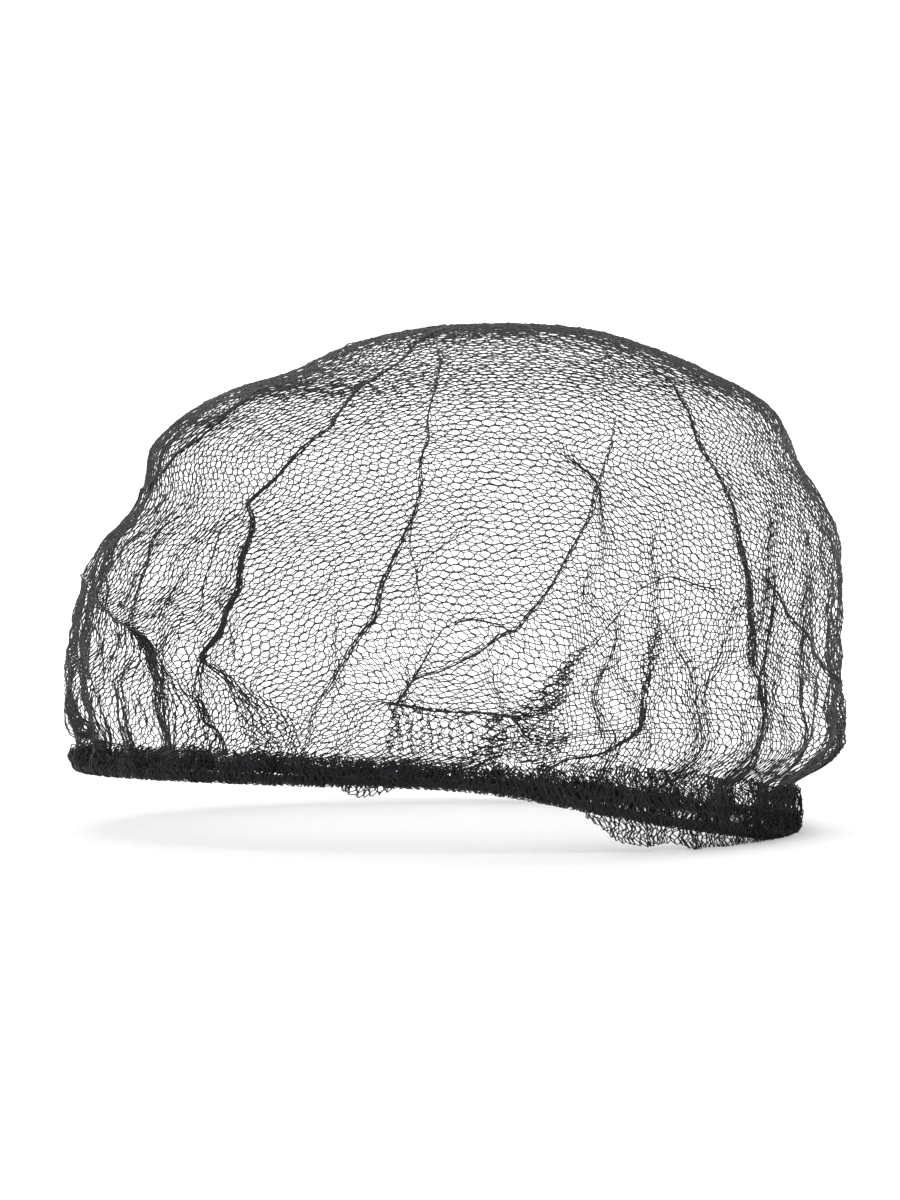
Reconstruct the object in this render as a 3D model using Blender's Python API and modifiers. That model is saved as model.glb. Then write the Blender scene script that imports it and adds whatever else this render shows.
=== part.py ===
"""A hairnet: a round cloth of honeycomb net, gathered on an elastic ring, standing as a hollow dome.

The cloth is worked out flat first. A point of the flat disc then goes to the dome by its distance
from the middle, which runs down the dome from the apex to the hem, and by its direction.
The net's wall is cut through in honeycomb gaps. Its creases are rolls of doubled net on the wall.
Metres, +Z up, +X to the photographed right, -Y to the viewer. The origin is the middle of the opening.
"""

import math
from collections import namedtuple

import bmesh
import bpy
import numpy as np

# The dome, from the middle of the opening
CROWN_HEIGHT = 0.164
REACH_LEFT = 0.134
REACH_RIGHT = 0.134
REACH_FRONT = 0.106
REACH_BACK = 0.106
HEM_TILT = math.radians(6.0)  # the hem falls to the right
CLOTH_RADIUS = 0.240  # of the flat disc, from its middle to the hem

# The net's wall and its gaps, in the flat cloth
NET_WALL = 0.0016
GAP_PITCH = 0.030  # between two pillars
PILLAR_LENGTH = 0.028
LINK_RISE = 0.011
BAR_WIDTH = 0.0034
WARP_ANGLE = math.radians(17)  # the pillars' direction
GATHERED_WIDTH = 0.031  # of the closed gathers between the gaps and the hem
OPEN_RADIUS = CLOTH_RADIUS - GATHERED_WIDTH  # the gaps end here
SHORTEST_GAP = 0.010  # a gap whose middle is nearer than this to the gathers is left out

# The gathers, the hem and the elastic
PLEATS = 30
PLEAT_STEPS = 4
PLEAT_DEPTH = 0.0024
GATHER_ROWS = 2
HEM_HEIGHT = 0.0045
HEM_WALL = 0.0024
ROLLED_HEIGHT = 0.0145  # the hem where the net is rolled up on itself, at the front right
ELASTIC_THICKNESS = 0.0032
ELASTIC_STEPS = 72
CLEARANCE = 0.0003  # between two pieces
NET_FOOT = 0.0015  # the net's straight edge, which stands on the hem

# The creases and the ruffles
CREASE_THICKNESS = 0.0042
CREASE_STEPS = 10
SWELL_LIFT = 0.0042  # of the wall's broad swells
RUFFLE_WALL = 0.0012
RUFFLE_DROP = 0.0100
RUFFLE_WAVE = 0.0022
SMALL_RUFFLE_DROP = 0.0035

# Rings down the dome. Cloth is a share of CLOTH_RADIUS, height of CROWN_HEIGHT, and the others are
# shares of the four reaches. A negative left lies right of the middle.
Ring = namedtuple("Ring", "cloth height left right front back")
RINGS = (
    Ring(0.000, 1.000, -0.07, 0.07, 0.00, 0.00),
    Ring(0.130, 0.985, 0.14, 0.36, 0.25, 0.25),
    Ring(0.210, 0.955, 0.28, 0.49, 0.41, 0.40),
    Ring(0.300, 0.900, 0.42, 0.66, 0.58, 0.57),
    Ring(0.415, 0.820, 0.66, 0.83, 0.75, 0.73),
    Ring(0.500, 0.720, 0.79, 0.89, 0.87, 0.85),
    Ring(0.590, 0.600, 0.82, 0.98, 0.95, 0.93),
    Ring(0.685, 0.470, 0.93, 1.00, 1.00, 0.98),
    Ring(0.775, 0.340, 0.98, 0.99, 1.00, 1.00),
    Ring(0.865, 0.200, 1.00, 0.99, 0.98, 0.98),
    Ring(0.950, 0.080, 1.00, 0.97, 0.93, 0.93),
    Ring(1.000, 0.000, 0.98, 0.87, 0.90, 0.90),
)

# The hem round the opening. Turn is in degrees, 0 at the right and 270 at the front, rolled is the
# share of the way from HEM_HEIGHT to ROLLED_HEIGHT, and raised is a share of HEM_HEIGHT.
HemRow = namedtuple("HemRow", "turn rolled raised")
HEM_ROWS = (
    HemRow(0, 1.0, 0.0),
    HemRow(25, 0.4, 0.0),
    HemRow(50, 0.0, 0.0),
    HemRow(180, 0.0, -0.3),
    HemRow(215, 0.0, 0.5),
    HemRow(245, 0.0, 1.7),
    HemRow(278, 0.1, 2.8),
    HemRow(302, 0.9, 1.7),
    HemRow(330, 1.0, 0.8),
    HemRow(360, 1.0, 0.0),
)

# Broad swells and dents of the wall. Across and up are shares of the reach and of CROWN_HEIGHT seen
# from the front, side is -1 on the front and 1 on the back, spread is a share of REACH_FRONT, and
# lift a share of SWELL_LIFT.
Swell = namedtuple("Swell", "across up side spread lift")
SWELLS = (
    Swell(-0.78, 0.55, -1, 0.30, -0.9),
    Swell(-0.86, 0.25, -1, 0.28, 0.8),
    Swell(-0.38, 0.45, -1, 0.30, 1.0),
    Swell(-0.25, 0.82, -1, 0.26, -0.8),
    Swell(0.12, 0.62, -1, 0.34, 1.0),
    Swell(0.02, 0.26, -1, 0.22, 1.4),
    Swell(0.30, 0.24, -1, 0.16, -1.2),
    Swell(0.60, 0.24, -1, 0.30, 1.4),
    Swell(0.52, 0.60, -1, 0.24, -0.8),
    Swell(0.90, 0.60, -1, 0.24, -1.0),
    Swell(-0.55, 0.60, 1, 0.36, 1.0),
    Swell(-0.10, 0.35, 1, 0.34, -0.9),
    Swell(0.40, 0.65, 1, 0.36, 0.9),
    Swell(0.70, 0.25, 1, 0.30, -0.9),
)

# Creases, as points seen from the front: across is a share of the reach, up of CROWN_HEIGHT.
CREASES = {
    "left_fold": ((-0.03, 0.98), (-0.17, 0.90), (-0.33, 0.78), (-0.54, 0.62), (-0.65, 0.45), (-0.66, 0.28)),
    "mid_fold": ((-0.05, 0.93), (-0.07, 0.77), (-0.14, 0.54), (-0.23, 0.38), (-0.33, 0.24), (-0.41, 0.13)),
    "long_fold": ((0.41, 0.82), (0.36, 0.70), (0.31, 0.54), (0.22, 0.41), (0.08, 0.32), (-0.14, 0.22)),
    "right_fold": ((0.50, 0.90), (0.58, 0.84), (0.64, 0.74), (0.71, 0.57), (0.75, 0.42), (0.76, 0.32)),
    "right_branch": ((0.75, 0.47), (0.81, 0.43), (0.86, 0.39), (0.90, 0.34)),
    "arch_fold": ((0.62, 0.43), (0.45, 0.41), (0.31, 0.31), (0.19, 0.18), (0.08, 0.07)),
    "low_fold": ((0.52, 0.31), (0.49, 0.20), (0.42, 0.11), (0.24, 0.06)),
    "leaf_fold": ((-0.17, 0.16), (-0.13, 0.27), (-0.02, 0.36), (0.10, 0.39)),
    "corner_fold": ((-0.93, 0.42), (-0.86, 0.37), (-0.77, 0.27), (-0.69, 0.12)),
}

# Ruffles below the elastic. Start and end are the turns in degrees that they hang between.
Ruffle = namedtuple("Ruffle", "start end drop waves")
RUFFLES = {
    "hem_ruffle_right": Ruffle(293, 336, RUFFLE_DROP, 5),
    "hem_ruffle_front": Ruffle(256, 264, SMALL_RUFFLE_DROP, 1),
}

# Colour, roughness
FINISHES = {
    "net": ((0.012, 0.013, 0.017), 0.55),
    "gathers": ((0.010, 0.010, 0.014), 0.60),
    "elastic": ((0.008, 0.008, 0.010), 0.70),
}


def smooth(at, places, values):
    """A smooth curve through the values: a cubic between rows, with each row's slope from its neighbours."""
    places = np.asarray(places, float)
    values = np.asarray(values, float)
    slope = np.gradient(values, places)
    k = np.clip(np.searchsorted(places, at) - 1, 0, len(places) - 2)
    span = places[k + 1] - places[k]
    t = np.clip((at - places[k]) / span, 0, 1)
    start = (1 + 2 * t) * (1 - t) ** 2 * values[k] + t * (1 - t) ** 2 * span * slope[k]
    end = t**2 * (3 - 2 * t) * values[k + 1] - t**2 * (1 - t) * span * slope[k + 1]
    return start + end


def column(rows, name):
    return [getattr(row, name) for row in rows]


def ease(at, low, high):
    """0 below low, 1 above high, and a smooth step between."""
    t = np.clip((at - low) / (high - low), 0, 1)
    return t * t * (3 - 2 * t)


def hem_height(turn):
    rolled = smooth(np.degrees(turn) % 360, column(HEM_ROWS, "turn"), column(HEM_ROWS, "rolled"))
    return HEM_HEIGHT + np.clip(rolled, 0, 1) * (ROLLED_HEIGHT - HEM_HEIGHT)


def hem_raised(turn):
    return HEM_HEIGHT * smooth(np.degrees(turn) % 360, column(HEM_ROWS, "turn"), column(HEM_ROWS, "raised"))


def pleats(turn):
    """The gathers round the hem: one wave a pleat, drawn together in some places and apart in others."""
    return np.cos(PLEATS * turn + 1.4 * np.sin(3 * turn) + 1.1 * np.sin(5 * turn + 1))


def ring_point(turn, cloth):
    """The dome without relief: an ellipse at each share of the cloth, tilted more towards the hem.

    Past the whole cloth the net's foot goes straight down.
    """
    at = column(RINGS, "cloth")
    height = smooth(cloth, at, column(RINGS, "height"))
    left = -REACH_LEFT * smooth(cloth, at, column(RINGS, "left"))
    right = REACH_RIGHT * smooth(cloth, at, column(RINGS, "right"))
    front = -REACH_FRONT * smooth(cloth, at, column(RINGS, "front"))
    back = REACH_BACK * smooth(cloth, at, column(RINGS, "back"))
    x = (left + right) / 2 + (right - left) / 2 * np.cos(turn)
    y = (front + back) / 2 + (back - front) / 2 * np.sin(turn)
    above_hem = hem_height(turn) + CLEARANCE + NET_FOOT + hem_raised(turn)
    low = 1 - height
    z = CROWN_HEIGHT * height - math.tan(HEM_TILT) * x * low + above_hem * low**2
    foot = CLOTH_RADIUS * np.maximum(cloth - 1, 0)
    return np.stack([x, y, z - foot], axis=-1)


def outward(points, cloth):
    """The way out of the dome: the slope of an ellipsoid with the dome's reaches, level at the hem."""
    reach = np.array([(REACH_LEFT + REACH_RIGHT) / 2, (REACH_FRONT + REACH_BACK) / 2, CROWN_HEIGHT])
    way = points / reach**2
    way[..., 2] = np.maximum(way[..., 2], 0) * (1 - ease(cloth, 0.85, 1.0))
    return way / np.linalg.norm(way, axis=-1, keepdims=True)


def relief(points, turn, cloth):
    """How far the wall stands out: the pleats towards the hem and the broad swells."""
    gathered = ease(cloth, 0.62, 1.0)
    lift = PLEAT_DEPTH * gathered * pleats(turn)
    for s in SWELLS:
        across = points[..., 0] / REACH_RIGHT - s.across
        up = (points[..., 2] / CROWN_HEIGHT - s.up) * CROWN_HEIGHT / REACH_RIGHT
        near = np.exp(-(across**2 + up**2) / (2 * (s.spread * REACH_FRONT / REACH_RIGHT) ** 2))
        same_side = ease(s.side * points[..., 1] / REACH_FRONT, 0.0, 0.4)
        lift = lift + SWELL_LIFT * s.lift * near * same_side * (1 - ease(cloth, 0.9, 1.0))
    return lift


def on_dome(turn, cloth, out=0.0):
    """The point of the net at a direction and a share of the cloth, and further out by out."""
    turn, cloth = np.asarray(turn, float), np.asarray(cloth, float)
    points = ring_point(turn, cloth)
    lift = relief(points, turn, cloth) + out
    return points + outward(points, cloth) * lift[..., None]


def finish(name):
    colour, roughness = FINISHES[name]
    material = bpy.data.materials.new(name)
    material.use_nodes = True
    shader = material.node_tree.nodes["Principled BSDF"]
    shader.inputs["Base Color"].default_value = (*colour, 1)
    shader.inputs["Roughness"].default_value = roughness
    shader.inputs["Metallic"].default_value = 0
    return material


def place(name, mesh, collection, material):
    obj = bpy.data.objects.new(name, mesh)
    mesh.materials.clear()
    mesh.materials.append(material)
    collection.objects.link(obj)
    return obj


def thicken(obj, wall):
    solid = obj.modifiers.new("Wall", "SOLIDIFY")
    solid.thickness = wall
    solid.offset = 0
    solid.use_even_offset = False


def grid_mesh(name, points, closed):
    """A mesh on rows by columns of points, whose last column meets the first where it is closed."""
    rows, columns = points.shape[:2]
    i, j = np.meshgrid(np.arange(rows - 1), np.arange(columns if closed else columns - 1), indexing="ij")
    here = i * columns + j
    beside = i * columns + (j + 1) % columns
    faces = np.stack([here, beside, beside + columns, here + columns], axis=-1)
    mesh = bpy.data.meshes.new(name)
    mesh.from_pydata(points.reshape(-1, 3).tolist(), [], faces.reshape(-1, 4).tolist())
    mesh.shade_smooth()
    return mesh


def add_gaps(flat):
    """Adds the honeycomb to the flat cloth: a hexagon for each gap, its corners kept inside OPEN_RADIUS."""
    row_pitch = PILLAR_LENGTH + LINK_RISE
    reach = math.ceil(OPEN_RADIUS / min(GAP_PITCH, row_pitch)) + 1
    corners = (
        (GAP_PITCH / 2, PILLAR_LENGTH / 2),
        (0, PILLAR_LENGTH / 2 + LINK_RISE),
        (-GAP_PITCH / 2, PILLAR_LENGTH / 2),
        (-GAP_PITCH / 2, -PILLAR_LENGTH / 2),
        (0, -PILLAR_LENGTH / 2 - LINK_RISE),
        (GAP_PITCH / 2, -PILLAR_LENGTH / 2),
    )
    for row in range(-reach, reach + 1):
        for step in range(-reach, reach + 1):
            across = (step + (row % 2) / 2) * GAP_PITCH
            along = row * row_pitch
            if math.hypot(across, along) > OPEN_RADIUS - SHORTEST_GAP:
                continue
            ring = []
            for dx, dy in corners:
                far = math.hypot(across + dx, along + dy)
                keep = min(1, OPEN_RADIUS / far)
                x, y = (along + dy) * keep, -(across + dx) * keep
                turned = (
                    x * math.cos(WARP_ANGLE) - y * math.sin(WARP_ANGLE),
                    x * math.sin(WARP_ANGLE) + y * math.cos(WARP_ANGLE),
                    0,
                )
                ring.append(flat.verts.new(turned))
            flat.faces.new(ring)
    bmesh.ops.remove_doubles(flat, verts=flat.verts, dist=0.00005)


def add_gathers(flat):
    """Adds the closed rows of the gathered zone and the foot, and fills between them and the honeycomb."""
    rim = [e for e in flat.edges if e.is_boundary]
    columns = PLEATS * PLEAT_STEPS
    first = OPEN_RADIUS + BAR_WIDTH
    radii = [first + (CLOTH_RADIUS - first) * row / GATHER_ROWS for row in range(GATHER_ROWS + 1)]
    turns = [2 * math.pi * k / columns for k in range(columns)]
    rows = []
    for radius in radii + [CLOTH_RADIUS + NET_FOOT]:
        rows.append([flat.verts.new((radius * math.cos(t), radius * math.sin(t), 0)) for t in turns])
    for inner, outer in zip(rows, rows[1:]):
        for k in range(columns):
            after = (k + 1) % columns
            flat.faces.new((inner[k], outer[k], outer[after], inner[after]))
    inner_edges = [flat.edges.get((rows[0][k], rows[0][(k + 1) % columns])) for k in range(columns)]
    bmesh.ops.triangle_fill(flat, use_beauty=True, edges=rim + inner_edges, normal=(0, 0, 1))


def crown_mesh():
    flat = bmesh.new()
    add_gaps(flat)
    gaps = list(flat.faces)
    add_gathers(flat)
    bmesh.ops.inset_individual(flat, faces=gaps, thickness=BAR_WIDTH / 2, use_even_offset=True)
    bmesh.ops.delete(flat, geom=gaps, context="FACES_ONLY")
    bmesh.ops.recalc_face_normals(flat, faces=flat.faces)
    at = np.array([v.co[:2] for v in flat.verts])
    shaped = on_dome(np.arctan2(at[:, 1], at[:, 0]), np.hypot(at[:, 0], at[:, 1]) / CLOTH_RADIUS)
    for vertex, point in zip(flat.verts, shaped):
        vertex.co = point
    mesh = bpy.data.meshes.new("crown_net")
    flat.to_mesh(mesh)
    flat.free()
    mesh.shade_smooth()
    return mesh


def seen_from_front(across, up):
    """The directions and cloth shares of the front points that are seen at these places."""
    turn = np.linspace(math.pi, 2 * math.pi, 361)
    turn, cloth = np.meshgrid(turn, np.linspace(0.02, 1, 300), indexing="ij")
    points = ring_point(turn, cloth)
    found = []
    for a, u in zip(across, up):
        far = (points[..., 0] - a * REACH_RIGHT) ** 2 + (points[..., 2] - u * CROWN_HEIGHT) ** 2
        k = far.argmin()
        found.append((turn.flat[k], cloth.flat[k]))
    return np.array(found).T


def crease_roll(name, points, guides):
    """A crease: a roll of doubled net that lies on the wall and thins out at its ends."""
    across, up = np.array(points).T
    rows = np.linspace(0, 1, len(points))
    at = np.linspace(0, 1, CREASE_STEPS)
    turn, cloth = seen_from_front(smooth(at, rows, across), smooth(at, rows, up))
    path = on_dome(turn, cloth, CREASE_THICKNESS / 5)
    curve = bpy.data.curves.new(name, "CURVE")
    curve.dimensions = "3D"
    curve.bevel_depth = CREASE_THICKNESS / 2
    curve.bevel_resolution = 1
    curve.use_fill_caps = True
    spline = curve.splines.new("POLY")
    spline.points.add(len(path) - 1)
    for k, point in enumerate(path):
        spline.points[k].co = (*point, 1)
        spline.points[k].radius = 0.45 + 0.55 * math.sin(math.pi * at[k]) ** 0.5
    rail = bpy.data.objects.new(name, curve)
    guides.objects.link(rail)
    bpy.context.view_layer.update()
    mesh = bpy.data.meshes.new_from_object(rail.evaluated_get(bpy.context.evaluated_depsgraph_get()))
    bpy.data.objects.remove(rail)
    welded = bmesh.new()
    welded.from_mesh(mesh)
    bmesh.ops.remove_doubles(welded, verts=welded.verts, dist=0.00001)
    bmesh.ops.recalc_face_normals(welded, faces=welded.faces)
    welded.to_mesh(mesh)
    welded.free()
    roll = bpy.data.objects.new(name, mesh)
    roll.hide_render = True
    roll.display_type = "WIRE"
    guides.objects.link(roll)


def add_crown(collection, guides, material):
    crown = place("crown_net", crown_mesh(), collection, material)
    thicken(crown, NET_WALL)
    for name, points in CREASES.items():
        crease_roll(name, points, guides)
    join = crown.modifiers.new("Creases", "BOOLEAN")
    join.operation = "UNION"
    join.operand_type = "COLLECTION"
    join.collection = guides


def hem_line(turn, out=0.0, drop=0.0):
    """The line that the hem's foot follows, moved out and down."""
    points = ring_point(turn, np.ones_like(turn))
    points[..., 2] -= hem_height(turn) + CLEARANCE + NET_FOOT + drop
    way = np.stack([np.cos(turn), np.sin(turn), np.zeros_like(turn)], axis=-1)
    return points + way * np.asarray(out)[..., None]


def add_hem(collection, material):
    """The gathered hem: a pleated band that stands on the elastic and carries the net on its top."""
    turn = np.arange(PLEATS * PLEAT_STEPS) * 2 * math.pi / (PLEATS * PLEAT_STEPS)
    rows = []
    for share in (0.0, 0.5, 1.0):
        rows.append(hem_line(turn, PLEAT_DEPTH * pleats(turn), -hem_height(turn) * share))
    hem = place("gathered_hem", grid_mesh("gathered_hem", np.array(rows), True), collection, material)
    thicken(hem, HEM_WALL)


def add_elastic(collection, material):
    turn = np.arange(ELASTIC_STEPS) * 2 * math.pi / ELASTIC_STEPS
    path = hem_line(turn, np.zeros_like(turn), CLEARANCE + ELASTIC_THICKNESS / 2)
    curve = bpy.data.curves.new("elastic_band", "CURVE")
    curve.dimensions = "3D"
    curve.bevel_depth = ELASTIC_THICKNESS / 2
    curve.bevel_resolution = 1
    spline = curve.splines.new("POLY")
    spline.points.add(len(path) - 1)
    for k, point in enumerate(path):
        spline.points[k].co = (*point, 1)
    spline.use_cyclic_u = True
    curve.materials.append(material)
    collection.objects.link(bpy.data.objects.new("elastic_band", curve))


def add_ruffle(name, ruffle, collection, material):
    """A ruffle: a flounce below the elastic, deepest in its middle, that waves more towards its edge."""
    steps = 8 * ruffle.waves + 1
    share = np.linspace(0, 1, steps)
    turn = np.radians(ruffle.start + (ruffle.end - ruffle.start) * share)
    depth = ruffle.drop * (0.35 + 0.65 * np.sin(math.pi * share) ** 0.7)
    top = 2 * CLEARANCE + ELASTIC_THICKNESS
    rows = []
    for down in (0.0, 0.5, 1.0):
        wave = RUFFLE_WAVE * down * np.sin(2 * math.pi * ruffle.waves * share)
        rows.append(hem_line(turn, wave, top + depth * down))
    obj = place(name, grid_mesh(name, np.array(rows), False), collection, material)
    thicken(obj, RUFFLE_WALL)


def main():
    for obj in list(bpy.data.objects):
        bpy.data.objects.remove(obj)
    collection = bpy.data.collections.new("hairnet")
    guides = bpy.data.collections.new("hairnet_creases")
    bpy.context.scene.collection.children.link(collection)
    bpy.context.scene.collection.children.link(guides)
    net, gathers, elastic = finish("net"), finish("gathers"), finish("elastic")
    add_crown(collection, guides, net)
    add_hem(collection, gathers)
    add_elastic(collection, elastic)
    for name, ruffle in RUFFLES.items():
        add_ruffle(name, ruffle, collection, gathers)


main()
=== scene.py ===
"""A black honeycomb hairnet, filled out to its worn form on an open elastic ring.

The net is one round cloth of 356 threads. Each thread is worked out in the flat disc, where it
runs up pillars and leans between them. The cloth is then folded, gathered and carried to the dome.
Metres, +Z up, +X to the photographed right, -Y to the viewer. The origin is the middle of the opening.
"""

import math
from collections import namedtuple

import bpy
import numpy as np
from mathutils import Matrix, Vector

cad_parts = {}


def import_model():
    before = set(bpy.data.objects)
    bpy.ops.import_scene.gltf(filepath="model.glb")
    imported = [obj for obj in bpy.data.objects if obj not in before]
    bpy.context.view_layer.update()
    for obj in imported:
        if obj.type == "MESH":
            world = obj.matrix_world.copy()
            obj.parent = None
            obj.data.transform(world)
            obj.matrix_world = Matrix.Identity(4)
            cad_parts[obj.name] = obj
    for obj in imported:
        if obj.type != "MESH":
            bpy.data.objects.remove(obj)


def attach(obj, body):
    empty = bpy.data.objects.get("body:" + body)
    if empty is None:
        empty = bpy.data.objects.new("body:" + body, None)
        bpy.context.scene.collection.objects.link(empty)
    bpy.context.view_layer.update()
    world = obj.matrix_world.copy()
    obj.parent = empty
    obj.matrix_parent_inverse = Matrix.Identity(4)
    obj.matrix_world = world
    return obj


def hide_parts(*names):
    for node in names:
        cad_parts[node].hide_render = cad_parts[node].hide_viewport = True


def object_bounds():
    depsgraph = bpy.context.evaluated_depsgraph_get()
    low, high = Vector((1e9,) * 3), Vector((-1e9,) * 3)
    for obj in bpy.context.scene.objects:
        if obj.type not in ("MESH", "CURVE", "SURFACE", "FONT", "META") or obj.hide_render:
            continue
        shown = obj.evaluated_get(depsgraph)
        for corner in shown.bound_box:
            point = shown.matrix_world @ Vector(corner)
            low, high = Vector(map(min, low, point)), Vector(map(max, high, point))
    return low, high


# The dome, from the middle of the opening
CROWN_HEIGHT = 0.164
REACH_LEFT = 0.134
REACH_RIGHT = 0.134
REACH_FRONT = 0.106
REACH_BACK = 0.106
HEM_TILT = math.radians(6.0)  # the hem falls to the right
CLOTH_RADIUS = 0.240  # of the flat disc, from its middle to the hem

# The hem and the elastic
PLEATS = 30
PLEAT_DEPTH = 0.0024
HEM_HEIGHT = 0.0045
ROLLED_HEIGHT = 0.0145  # the hem where the net is rolled up on itself, at the front right
ELASTIC_THICKNESS = 0.0032
CLEARANCE = 0.0003
NET_FOOT = 0.0015
SWELL_LIFT = 0.0042
RUFFLE_DROP = 0.0100
RUFFLE_WAVE = 0.0022
SMALL_RUFFLE_DROP = 0.0035

# The honeycomb in the flat cloth. Two threads lie side by side in a pillar and part above it.
THREAD = 0.00041  # a thread's diameter
GAP_WIDTH = 0.0027  # between two pillars of a row
ROW_PITCH = 0.00395
PILLAR_LENGTH = 0.0026
SIDE_BY_SIDE = 0.46  # how far a thread lies from its pillar's middle, as a share of its diameter
CROSSING = 0.3  # how far the two threads pass over each other, as a share too
UNEVEN_LENGTH = 0.10  # of the pillars, as a share
UNEVEN_PLACE = 0.00013  # of their points in the cloth, and out of it
UNEVEN_OUT = 0.00012
UNEVEN_SPAN = 400  # pillars after which the unevenness comes again
WARP_ANGLE = math.radians(25)  # the pillars' direction
PANEL_THREADS = (-178, -72, 0, 72, 178)  # the net is made in four strips of threads
SEED = 11

# Rings down the dome. Cloth is a share of CLOTH_RADIUS, height of CROWN_HEIGHT, and the others are
# shares of the four reaches. A negative left lies right of the middle.
Ring = namedtuple("Ring", "cloth height left right front back")
RINGS = (
    Ring(0.000, 1.000, -0.07, 0.07, 0.00, 0.00),
    Ring(0.130, 0.985, 0.14, 0.36, 0.25, 0.25),
    Ring(0.210, 0.955, 0.28, 0.49, 0.41, 0.40),
    Ring(0.300, 0.900, 0.42, 0.66, 0.58, 0.57),
    Ring(0.415, 0.820, 0.66, 0.83, 0.75, 0.73),
    Ring(0.500, 0.720, 0.79, 0.89, 0.87, 0.85),
    Ring(0.590, 0.600, 0.82, 0.98, 0.95, 0.93),
    Ring(0.685, 0.470, 0.93, 1.00, 1.00, 0.98),
    Ring(0.775, 0.340, 0.98, 0.99, 1.00, 1.00),
    Ring(0.865, 0.200, 1.00, 0.99, 0.98, 0.98),
    Ring(0.950, 0.080, 1.00, 0.97, 0.93, 0.93),
    Ring(1.000, 0.000, 0.98, 0.87, 0.90, 0.90),
)

# The hem round the opening. Turn is in degrees, 0 at the right and 270 at the front, rolled is the
# share of the way from HEM_HEIGHT to ROLLED_HEIGHT, and raised is a share of HEM_HEIGHT.
HemRow = namedtuple("HemRow", "turn rolled raised")
HEM_ROWS = (
    HemRow(0, 1.0, 0.0),
    HemRow(25, 0.4, 0.0),
    HemRow(50, 0.0, 0.0),
    HemRow(180, 0.0, -0.3),
    HemRow(215, 0.0, 0.5),
    HemRow(245, 0.0, 1.7),
    HemRow(278, 0.1, 2.8),
    HemRow(302, 0.9, 1.7),
    HemRow(330, 1.0, 0.8),
    HemRow(360, 1.0, 0.0),
)

# Broad swells and dents of the wall. Across and up are shares of the reach and of CROWN_HEIGHT seen
# from the front, side is -1 on the front and 1 on the back, spread is a share of REACH_FRONT, and
# lift a share of SWELL_LIFT.
Swell = namedtuple("Swell", "across up side spread lift")
SWELLS = (
    Swell(-0.78, 0.55, -1, 0.30, -0.9),
    Swell(-0.86, 0.25, -1, 0.28, 0.8),
    Swell(-0.38, 0.45, -1, 0.30, 1.0),
    Swell(-0.25, 0.82, -1, 0.26, -0.8),
    Swell(0.12, 0.62, -1, 0.34, 1.0),
    Swell(0.02, 0.26, -1, 0.22, 1.4),
    Swell(0.30, 0.24, -1, 0.16, -1.2),
    Swell(0.60, 0.24, -1, 0.30, 1.4),
    Swell(0.52, 0.60, -1, 0.24, -0.8),
    Swell(0.90, 0.60, -1, 0.24, -1.0),
    Swell(-0.55, 0.60, 1, 0.36, 1.0),
    Swell(-0.10, 0.35, 1, 0.34, -0.9),
    Swell(0.40, 0.65, 1, 0.36, 0.9),
    Swell(0.70, 0.25, 1, 0.30, -0.9),
)

# The camera, and the frame of 900 by 1200 pixels that the folds' points are read in
LENS = 0.085
SENSOR = 0.036
FRAME_WIDTH = 900
FRAME_HEIGHT = 1200
CAMERA_DISTANCE = 0.992
CAMERA_ELEVATION = math.radians(0.8)
CAMERA_TARGET = np.array([-0.0023, 0.0, 0.068])

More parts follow.
